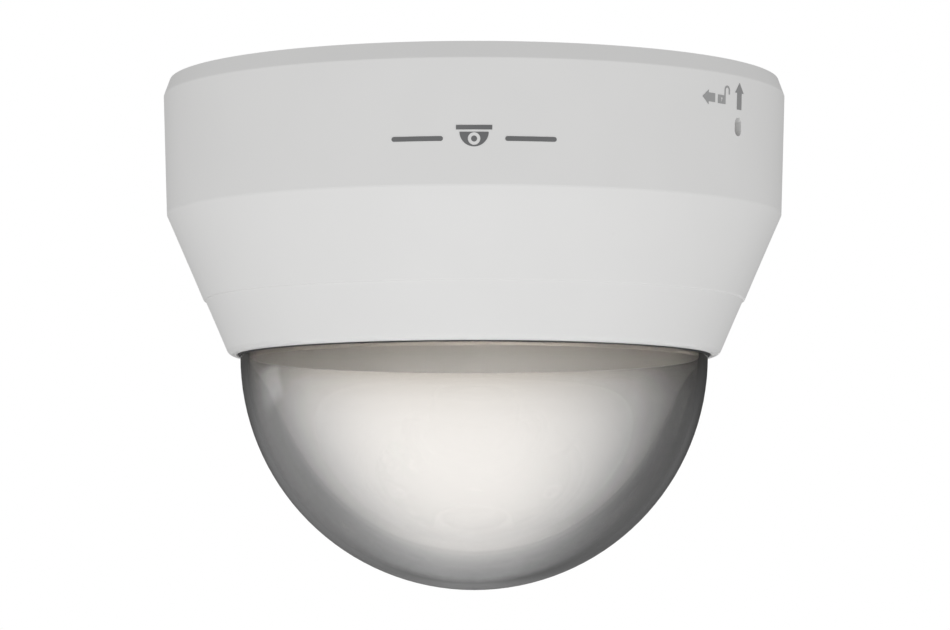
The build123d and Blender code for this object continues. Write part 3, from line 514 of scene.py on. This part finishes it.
# printed frames round the larger parts: middle, width and depth
PRINTED_FRAMES = [
    ((0, -36), 20.0, 20.0),
    ((36, 0), 11.4, 10.4),
    ((33, -16), 8.4, 8.4),
    ((-33, -19.5), 11.2, 9.2),
    ((28, 0), 4.8, 13.2),
    ((18, -40), 7.0, 7.0),
]
TEST_POINTS = [(-36 + 2.4 * i, 22.5) for i in range(4)] + [(40.0, -25.9)]
TEST_POINTS += [(14.5 + 2.2 * i, 36.4) for i in range(3)]
CRYSTAL = (-18.5, 33.0)
CONNECTOR_X = 28
CONNECTOR_PINS = 10
# the network jack's lamp windows: how far right each is, and where the jack's face is
JACK_WINDOWS = (("green_lamp", -42.9), ("amber_lamp", -31.1))
JACK_FACE_Y = 8.65


def board_passives():
    """Rows of small capacitors and resistors with tinned ends, on their pads."""
    ceramic, dark, ends = bmesh.new(), bmesh.new(), bmesh.new()
    length, width, height = 1.1, 0.6, 0.5
    body_size = (length * 0.62, width, height)
    end_size = (length * 0.26, width * 1.03, height * 1.04)
    pad_size = (length * 0.5, width * 1.35, PAD)
    end_reach = length * 0.42
    count = 0
    for (x, y), (step_x, step_y), number, turned in PART_ROWS:
        for i in range(number):
            part_x, part_y, part_z = x + step_x * i, y + step_y * i, BOARD_Z - height / 2
            turn = 0 if turned else 90
            part = ceramic if count % 3 else dark
            add_block(part, (part_x, part_y, part_z), body_size, turn)
            for side in (-1, 1):
                reach = side * end_reach
                place = (part_x + reach, part_y) if turned else (part_x, part_y + reach)
                add_block(ends, (*place, part_z), end_size, turn)
                add_block(ends, (*place, BOARD_Z - PAD / 2), pad_size, turn, bevel=0)
            count += 1
    new_piece("board_small_capacitors", ceramic, inks["ceramic"], "base")
    new_piece("board_small_resistors", dark, materials["chip_epoxy"], "base")
    new_piece("board_small_part_ends", ends, inks["tin"], "base")


def board_chips():
    """Chips with rows of legs, and legs for the two memory chips."""
    legs = bmesh.new()
    for name, (x, y), width, depth, height, count in LEGGED_CHIPS:
        if name not in CHIPS_IN_CAD:
            chip = bmesh.new()
            gap = 0.1
            size = (width, depth, height - gap)
            add_block(chip, (x, y, BOARD_Z - (height + gap) / 2), size, bevel=0.15)
            ring = closed_ring(0.25, 0.42, BOARD_Z - height, BOARD_Z - height - INK)
            add_turned(chip, ring, (x - width * 0.38, y - depth * 0.34), 24)
            new_piece(name, chip, materials["chip_epoxy"], "base")
        for i in range(count):
            leg_x = x + width * 0.86 * (i / (count - 1) - 0.5)
            for side in (-1, 1):
                # out of the chip, down to the board, and along its pad
                for out, up, size in (
                    (0.15, height * 0.5, (0.26, 0.3, 0.12)),
                    (0.3, height * 0.27, (0.26, 0.12, height * 0.5)),
                    (0.55, 0.08, (0.26, 0.6, 0.12)),
                ):
                    leg_y = y + side * (depth / 2 + out)
                    add_block(legs, (leg_x, leg_y, BOARD_Z - up), size, bevel=0)
    new_piece("board_chip_legs", legs, inks["tin"], "base")


def board_printing():
    """White outlines round the parts, and a ring round each tall capacitor."""
    ink = bmesh.new()
    line = 0.18
    z = BOARD_Z - INK / 2
    frames = [(middle, width + 1.4, depth + 2.4) for _, middle, width, depth, _, _ in LEGGED_CHIPS]
    for (x, y), width, depth in frames + PRINTED_FRAMES:
        for side in (-1, 1):
            add_block(ink, (x + side * width / 2, y, z), (line, depth + line, INK), bevel=0)
            add_block(ink, (x, y + side * depth / 2, z), (width + line, line, INK), bevel=0)
    for centre in CAPACITORS:
        add_turned(ink, closed_ring(*CAPACITOR_RING, BOARD_Z, BOARD_Z - INK), centre, 64)
    new_piece("board_printing", ink, inks["print_white"], "base")


def capacitor_sleeves():
    """A dark mark down the side of each capacitor, and the three-way score on its top."""
    stripes, scores = bmesh.new(), bmesh.new()
    foot = BOARD_Z - CAPACITOR_HEIGHT
    for number, (x, y) in enumerate(CAPACITORS):
        first = 40 + 70 * number
        outer, inner = CAPACITOR_RADIUS + 0.05, CAPACITOR_RADIUS - 0.02
        outline = arc((x, y), outer, first, first + 56) + arc((x, y), inner, first + 56, first)
        top = [stripes.verts.new(Vector((px, py, BOARD_Z - 0.6)) * MM) for px, py in outline]
        low = [stripes.verts.new(Vector((px, py, foot + 0.7)) * MM) for px, py in outline]
        for i in range(len(outline)):
            k = (i + 1) % len(outline)
            stripes.faces.new((top[i], top[k], low[k], low[i]))
        steps = len(outline) // 2
        for ends in (top, low):
            for i in range(steps - 1):
                stripes.faces.new((ends[i], ends[i + 1], ends[-i - 2], ends[-i - 1]))
        for arm in range(3):
            turn = 120 * arm + 20 * number
            middle = (x + math.cos(math.radians(turn)), y + math.sin(math.radians(turn)))
            add_block(scores, (*middle, foot - 0.01), (1.7, 0.16, 0.06), turn, bevel=0)
    new_piece("capacitor_stripes", stripes, inks["sleeve"], "base")
    new_piece("capacitor_scores", scores, materials["ferrite"], "base")


def board_extras():
    """A crystal in its can, gold test points, and the pins of the camera's connector."""
    can = bmesh.new()
    add_block(can, (*CRYSTAL, BOARD_Z - 0.6), (5.0, 3.2, 1.2), bevel=0.35)
    add_block(can, (*CRYSTAL, BOARD_Z - 0.1), (5.8, 3.8, 0.2), bevel=0.08)
    new_piece("crystal_can", can, materials["jack_metal"], "base")
    gold = bmesh.new()
    dot = [(0.0001, BOARD_Z - PAD), (0.55, BOARD_Z - PAD), (0.6, BOARD_Z), (0.0001, BOARD_Z)]
    for point in TEST_POINTS:
        add_turned(gold, dot, point, 24)
    for i in range(CONNECTOR_PINS):
        y = i - (CONNECTOR_PINS - 1) / 2
        for side in (-1, 1):
            foot = (CONNECTOR_X + side * 2.1, y, BOARD_Z - 0.1)
            add_block(gold, foot, (0.9, 0.34, 0.18), bevel=0.03)
        add_block(gold, (CONNECTOR_X, y, BOARD_Z - 0.9), (0.5, 0.3, 1.4), bevel=0.03)
    new_piece("gold_contacts", gold, materials["contact_gold"], "base")
    for ink, x in JACK_WINDOWS:
        window = bmesh.new()
        add_block(window, (x, JACK_FACE_Y, BOARD_Z - 1.8), (1.9, 0.5, 1.3), bevel=0.12)
        new_piece(f"jack_{ink}", window, inks[ink], "base")


board_passives()
board_chips()
board_printing()
capacitor_sleeves()
board_extras()


# ---------------------------------------------------------------- on the gimbal and the lens
TURNTABLE_FOOT_Z = -10.3
TURNTABLE_RADIUS = 23.5
TILT_Z = -34.1
TILT_SCALE_RADIUS = 5.5
ARM_FACE_X = 20.9
BEZEL_RADIUS = 8.9
RING_RADIUS = 10.6


def on_circle(radius, angle):
    """A point on a circle round the vertical, by angle in degrees."""
    return radius * math.cos(math.radians(angle)), radius * math.sin(math.radians(angle))


def turntable_scale():
    """Ticks every ten degrees under the turntable's edge, long ones every thirty."""
    ink = bmesh.new()
    for angle in range(0, 360, 10):
        length = 1.9 if angle % 30 == 0 else 1.1
        place = on_circle(TURNTABLE_RADIUS - length / 2, angle)
        add_block(ink, (*place, TURNTABLE_FOOT_Z - INK / 2), (length, 0.22, INK), angle, bevel=0)
    new_piece("turntable_scale", ink, inks["print_white"], "pan")


def tilt_scales():
    """A fan of ticks round each tilt screw, on the outer face of its arm."""
    ink = bmesh.new()
    for side in (-1, 1):
        for angle in range(-150, -29, 15):
            length = 1.1 if angle % 30 == 0 else 0.7
            y, up = on_circle(TILT_SCALE_RADIUS - length / 2, angle)
            matrix = Matrix.LocRotScale(
                Vector((side * (ARM_FACE_X + INK / 2), y, TILT_Z + up)) * MM,
                Euler((math.radians(angle), 0, 0)),
                Vector((INK, length, 0.2)) * MM,
            )
            bmesh.ops.create_cube(ink, size=1.0, matrix=matrix)
    new_piece("tilt_scales", ink, inks["print_white"], "pan")


def lens_marks():
    """Index ticks on the bezel and on the two lens rings."""
    for name, body, radius, middle, height, angles in (
        ("bezel_index", "lens", BEZEL_RADIUS, TILT_Z - 14.3, 1.3, range(-135, -44, 15)),
        ("zoom_index", "zoom", RING_RADIUS, TILT_Z - 6.8, 2.2, (-75, -105)),
        ("focus_index", "focus", RING_RADIUS, TILT_Z - 10.8, 2.2, (-75, -105)),
    ):
        ink = bmesh.new()
        for angle in angles:
            tall = height * (1.0 if angle % 45 == 0 or len(angles) == 2 else 0.6)
            place = (*on_circle(radius, angle), middle)
            add_block(ink, place, (INK, 0.25, tall), angle, bevel=0)
        new_piece(name, ink, inks["print_white"], body)


def sensor_board_parts():
    """Small parts and a chip on the back of the sensor's board."""
    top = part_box("sensor_board")[1].z / MM
    chip_y, row_y = -4.5, 8.0
    parts, ends = bmesh.new(), bmesh.new()
    add_block(parts, (0, chip_y, top + 0.45), (4.4, 4.4, 0.9), bevel=0.1)
    for i in range(6):
        x = (i - 2.5) * 1.7
        leg_y = chip_y + (i - 2.5) * 0.65
        add_block(parts, (x, row_y, top + 0.25), (0.5, 0.62, 0.5))
        for side in (-1, 1):
            add_block(ends, (x, row_y + side * 0.44, top + 0.26), (0.52, 0.26, 0.52))
            add_block(ends, (side * 2.55, leg_y, top + 0.1), (0.7, 0.24, 0.16), bevel=0)
    new_piece("sensor_board_parts", parts, materials["chip_epoxy"], "lens")
    new_piece("sensor_board_part_ends", ends, inks["tin"], "lens")


turntable_scale()
tilt_scales()
lens_marks()
sensor_board_parts()


# ---------------------------------------------------------------- stage
class Formula:
    """Short ways to build a value out of math nodes in the world."""

    def __init__(self, tree):
        self.new = tree.nodes.new
        self.link = tree.links.new

    def feed(self, socket, value):
        if isinstance(value, (int, float)):
            socket.default_value = value
        else:
            self.link(value, socket)

    def math(self, operation, *values):
        node = self.new("ShaderNodeMath")
        node.operation = operation
        for socket, value in zip(node.inputs, values):
            self.feed(socket, value)
        return node.outputs[0]

    def span(self, value, low, high, out_low, out_high):
        node = self.new("ShaderNodeMapRange")
        for socket, number in zip(node.inputs, (value, low, high, out_low, out_high)):
            self.feed(socket, number)
        return node.outputs["Result"]

    def add(self, first, *others):
        total = first
        for other in others:
            total = self.math("ADD", total, other)
        return total

    def times(self, first, second):
        return self.math("MULTIPLY", first, second)

    def blend(self, switch, off, on):
        """One value or another, by a switch from 0 to 1."""
        return self.add(off, self.times(switch, self.math("SUBTRACT", on, off)))


# the soft light on the object, by direction: all round, from the front, from below,
# from low in front, from both sides and from the right, and the least that it comes to
SKY_LEVEL = 0.554
SKY_FRONT = 0.294
SKY_BELOW = 0.211
SKY_LOW_FRONT = 0.594
SKY_SIDES = 0.200
SKY_RIGHT = -0.008
SKY_LEAST = 0.05
# the light that comes in through the dome: all round, from the front as far as an edge,
# and from behind, and the shares of it that come up steeply and from above
INSIDE_LEVEL = 0.12
INSIDE_FRONT = 62.0
INSIDE_BACK = 1.5
INSIDE_EDGE = -0.65
INSIDE_STEEP = 0.08
STEEP_FROM, STEEP_TO = -0.75, -0.15
INSIDE_HIGH = 0.02
HIGH_FROM, HIGH_TO = 0.1, 0.25
# the backdrop that shows through the dome: its level, how much lighter its left is than
# its middle, and the light that it has lower down, which fades to the sides
BACKDROP_LEVEL = 0.205
BACKDROP_SIDE = 0.13
SIDE_REACH = 0.2
BACKDROP_BELOW = 0.53
BELOW_FROM, BELOW_TO = -0.02, -0.16
BELOW_FADE_FROM, BELOW_FADE_TO = 0.03, 0.13
BELOW_FADED = 0.15
# the backdrop's bright patch: it leans to the left at its top, and narrows at its foot
SPOT_LEVEL = 0.95
SPOT_RADIUS = math.radians(4.5)
SPOT_SHIFT = math.radians(0.14)
SPOT_LEAN = math.radians(0.4)
SPOT_LEAN_Z = 0.06
SPOT_ELEVATION = math.radians(1.8)
SPOT_SQUASH = 0.87
SPOT_NARROWED = 1.24
SPOT_FOOT_Z, SPOT_TOP_Z = -0.03, 0.04
SPOT_POWER = 2.4
SPOT_COLOR = (1.0, 0.965, 0.925)
# what the dome mirrors: a dim room, dimmer above, and one soft upright lamp on the left
REFLECTED_LEVEL = 0.14
REFLECTED_SIDE = 0.03
REFLECTED_ABOVE = 0.45
ABOVE_FROM, ABOVE_TO = 0.06, -0.1
REFLECTED_BELOW = 0.09
GRAZING_FROM, GRAZING_TO = -0.6, -0.35
LAMP_LEVEL = 0.55
LAMP_LEFT, LAMP_LEFT_FULL = -69, -67
LAMP_RIGHT_FULL, LAMP_RIGHT = -58, -44
LAMP_FOOT, LAMP_FOOT_FULL = -0.18, -0.13
LAMP_TOP_FULL, LAMP_TOP = -0.03, 0.0


def studio_world():
    """White behind the object, and a soft studio that lights it and shows in the dome."""
    world = bpy.data.worlds.new("studio")
    bpy.context.scene.world = world
    world.use_nodes = True
    tree = world.node_tree
    tree.nodes.clear()
    f = Formula(tree)
    split = f.new("ShaderNodeSeparateXYZ")
    f.link(f.new("ShaderNodeTexCoord").outputs["Generated"], split.inputs["Vector"])
    x, y, z = split.outputs

    sky = f.add(
        SKY_LEVEL,
        f.times(y, -SKY_FRONT),
        f.times(z, -SKY_BELOW),
        f.times(f.times(y, z), SKY_LOW_FRONT),
        f.times(f.times(x, x), SKY_SIDES),
        f.times(x, SKY_RIGHT),
    )
    sky = f.math("MAXIMUM", sky, SKY_LEAST)
    inside = f.add(f.span(y, -1, INSIDE_EDGE, INSIDE_FRONT, 0), f.span(y, 0, 1, 0, INSIDE_BACK))
    inside = f.times(inside, f.span(z, STEEP_FROM, STEEP_TO, INSIDE_STEEP, 1))
    inside = f.add(INSIDE_LEVEL, f.times(inside, f.span(z, HIGH_FROM, HIGH_TO, 1, INSIDE_HIGH)))

    # the bright patch comes back at every quarter of a turn
    azimuth = f.math("ARCTAN2", x, y)
    lean = f.span(z, 0, SPOT_LEAN_Z, 0, SPOT_LEAN)
    turned = f.add(azimuth, SPOT_SHIFT, lean)
    side = f.times(f.math("SINE", f.times(turned, 2)), 0.5)
    height = f.times(f.add(z, -math.sin(SPOT_ELEVATION)), SPOT_SQUASH)
    across = f.times(side, f.span(z, SPOT_FOOT_Z, SPOT_TOP_Z, SPOT_NARROWED, 1))
    distance = f.math("SQRT", f.add(f.times(across, across), f.times(height, height)))
    fall = f.math("POWER", f.times(distance, 1 / SPOT_RADIUS), SPOT_POWER)
    glow = f.math("EXPONENT", f.times(fall, -1))
    leftward = f.span(side, -SIDE_REACH, SIDE_REACH, 1, -1)
    low = f.times(
        f.span(z, BELOW_FROM, BELOW_TO, 0, 1),
        f.span(f.math("ABSOLUTE", side), BELOW_FADE_FROM, BELOW_FADE_TO, 1, BELOW_FADED),
    )
    through = f.add(
        BACKDROP_LEVEL,
        f.times(leftward, BACKDROP_SIDE),
        f.times(low, BACKDROP_BELOW),
        f.times(glow, SPOT_LEVEL),
    )

    # the lamp has a sharp edge towards the front and a soft one towards the back
    degrees = f.math("DEGREES", azimuth)
    lamp = f.span(degrees, LAMP_LEFT, LAMP_LEFT_FULL, 0, LAMP_LEVEL)
    lamp = f.times(lamp, f.span(degrees, LAMP_RIGHT_FULL, LAMP_RIGHT, 1, 0))
    lamp = f.times(lamp, f.span(z, LAMP_FOOT, LAMP_FOOT_FULL, 0, 1))
    lamp = f.times(lamp, f.span(z, LAMP_TOP_FULL, LAMP_TOP, 1, 0))

    path = f.new("ShaderNodeLightPath").outputs
    mirrored = f.math("GREATER_THAN", path["Glossy Depth"], 0.5)
    room = f.add(REFLECTED_LEVEL, f.times(leftward, REFLECTED_SIDE))
    grazing = f.span(z, GRAZING_FROM, GRAZING_TO, 0, 1)
    reflected = f.add(
        f.times(room, f.span(z, ABOVE_FROM, ABOVE_TO, REFLECTED_ABOVE, 1)),
        f.times(f.times(low, grazing), REFLECTED_BELOW),
        lamp,
    )
    seen_in_glass = f.blend(mirrored, through, reflected)
    sharp = f.times(path["Is Singular Ray"], f.math("LESS_THAN", path["Diffuse Depth"], 0.5))
    came_in = f.math("GREATER_THAN", path["Transmission Depth"], 0.5)
    level = f.blend(sharp, f.blend(came_in, sky, inside), seen_in_glass)
    level = f.blend(path["Is Camera Ray"], level, 1.0)

    color = f.new("ShaderNodeMix")
    color.data_type = "RGBA"
    off_camera = f.math("SUBTRACT", 1.0, path["Is Camera Ray"])
    f.link(f.times(f.times(glow, sharp), off_camera), color.inputs["Factor"])
    color.inputs["A"].default_value = (1, 1, 1, 1)
    color.inputs["B"].default_value = (*SPOT_COLOR, 1)

    background = f.new("ShaderNodeBackground")
    f.link(color.outputs["Result"], background.inputs["Color"])
    f.link(level, background.inputs["Strength"])
    f.link(background.outputs[0], f.new("ShaderNodeOutputWorld").inputs["Surface"])


studio_world()


FLOOR_RADIUS = 2.6
FLOOR_DROP = 1.6


def floor():
    """A plain pale floor, well below the hanging camera; the studio does the lighting."""
    mesh = bpy.data.meshes.new("floor")
    shape = bmesh.new()
    bmesh.ops.create_circle(shape, cap_ends=True, radius=FLOOR_RADIUS, segments=96)
    shape.to_mesh(mesh)
    shape.free()
    obj = bpy.data.objects.new("floor", mesh)
    obj.location.z = cad_box[0][2] - FLOOR_DROP
    bpy.context.scene.collection.objects.link(obj)
    paint = moulded_plastic("floor_pale", (0.84, 0.84, 0.83), 0.7, grain=300, depth=0.0002)
    paint.bsdf.inputs["Emission Color"].default_value = (1, 1, 1, 1)
    paint.bsdf.inputs["Emission Strength"].default_value = 0.4
    mesh.materials.append(paint.material)
    obj.visible_diffuse = False
    obj.visible_glossy = False
    obj.visible_transmission = False
    obj.visible_shadow = False


floor()


CAMERA_PLACE = (0.00018, -0.857, -0.1137)
CAMERA_PITCH = math.radians(4.268)


def camera():
    """A long lens a little below the rim, looking slightly up at the cover's front."""
    data = bpy.data.cameras.new("camera")
    data.lens = 153.3
    data.sensor_width = 36.0
    data.clip_start = 0.05
    data.clip_end = 20
    obj = bpy.data.objects.new("camera", data)
    obj.location = CAMERA_PLACE
    obj.rotation_euler = (math.radians(90) + CAMERA_PITCH, 0, 0)
    bpy.context.scene.collection.objects.link(obj)
    bpy.context.scene.camera = obj


camera()
bpy.context.scene.view_settings.view_transform = "Standard"
